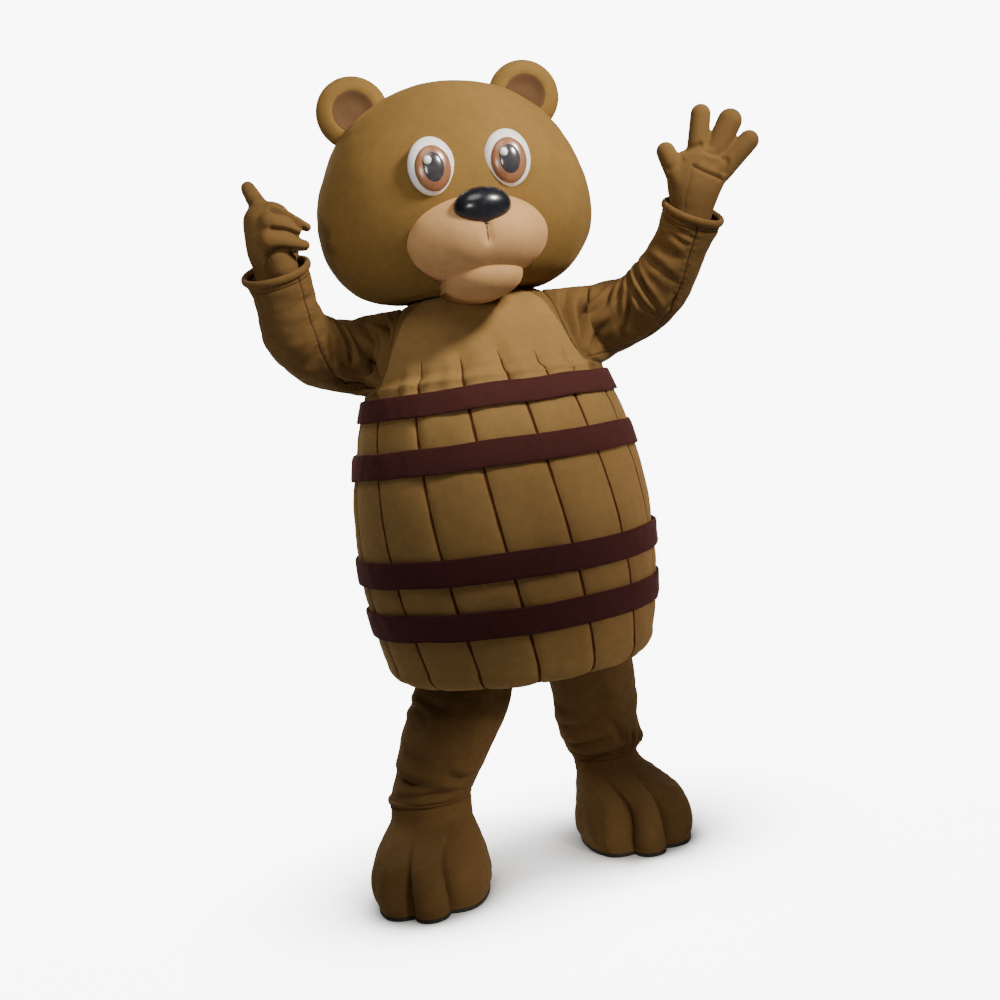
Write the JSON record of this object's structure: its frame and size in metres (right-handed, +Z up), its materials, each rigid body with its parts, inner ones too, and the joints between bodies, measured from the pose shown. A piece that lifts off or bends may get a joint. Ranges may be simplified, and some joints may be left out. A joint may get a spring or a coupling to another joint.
{
  "type": "bear mascot costume",
  "caption": "Walking bear costume for a stage: a large hollow head, a barrel-shaped padded body with hoops, sleeves, four-digit gloves, trouser legs and big-toed boots.",
  "frame": {"origin": "between the wearer's shoulders, where the costume is held up", "axes": "+Z up, the costume faces -Y, +X to the wearer's left"},
  "size_m": [1.1912, 0.7869, 1.929],
  "materials": {
    "brown_fleece": "short-pile olive-brown fleece, matt",
    "honey_fleece": "short-pile honey-tan fleece, matt",
    "peach_fleece": "short-pile light tan fleece, matt",
    "hoop_fleece": "dark reddish-brown fleece, matt",
    "nose_gloss": "black moulded plastic, glossy",
    "eye_white": "white painted plastic, satin",
    "eye_brown": "brown painted plastic, satin",
    "eye_dark": "near-black plastic, glossy",
    "eye_glint": "white painted plastic, satin",
    "sole_black": "black flat outsole, matt"
  },
  "bodies": {
    "root": {"barrel_base": "brown_fleece", "boot_left": "brown_fleece", "boot_right": "brown_fleece", "chest_back": "brown_fleece", "chest_front": "honey_fleece", "chin": "peach_fleece", "ear_left": "brown_fleece", "ear_panel_left": "peach_fleece", "ear_panel_right": "peach_fleece", "ear_right": "brown_fleece", "eye_glint_left": "eye_glint", "eye_glint_right": "eye_glint", "eye_white_left": "eye_white", "eye_white_right": "eye_white", "glove_left": "brown_fleece", "glove_right": "brown_fleece", "head_shell": "brown_fleece", "hoop_1_top": "hoop_fleece", "hoop_2_upper": "hoop_fleece", "hoop_3_lower": "hoop_fleece", "hoop_4_bottom": "hoop_fleece", "iris_left": "eye_brown", "iris_right": "eye_brown", "leg_left": "brown_fleece", "leg_right": "brown_fleece", "muzzle": "peach_fleece", "nose": "nose_gloss", "pupil_left": "eye_dark", "pupil_right": "eye_dark", "sleeve_left": "brown_fleece", "sleeve_right": "brown_fleece", "sole_left": "sole_black", "sole_right": "sole_black", "stave_01": "honey_fleece", "stave_02": "honey_fleece", "stave_03": "honey_fleece", "stave_04": "honey_fleece", "stave_05": "honey_fleece", "stave_06": "honey_fleece", "stave_07": "honey_fleece", "stave_08": "honey_fleece", "stave_09": "honey_fleece", "stave_10": "honey_fleece", "stave_11": "honey_fleece", "stave_12": "honey_fleece", "stave_13": "honey_fleece", "stave_14": "honey_fleece", "stave_15": "honey_fleece"}
  },
  "joints": []
}
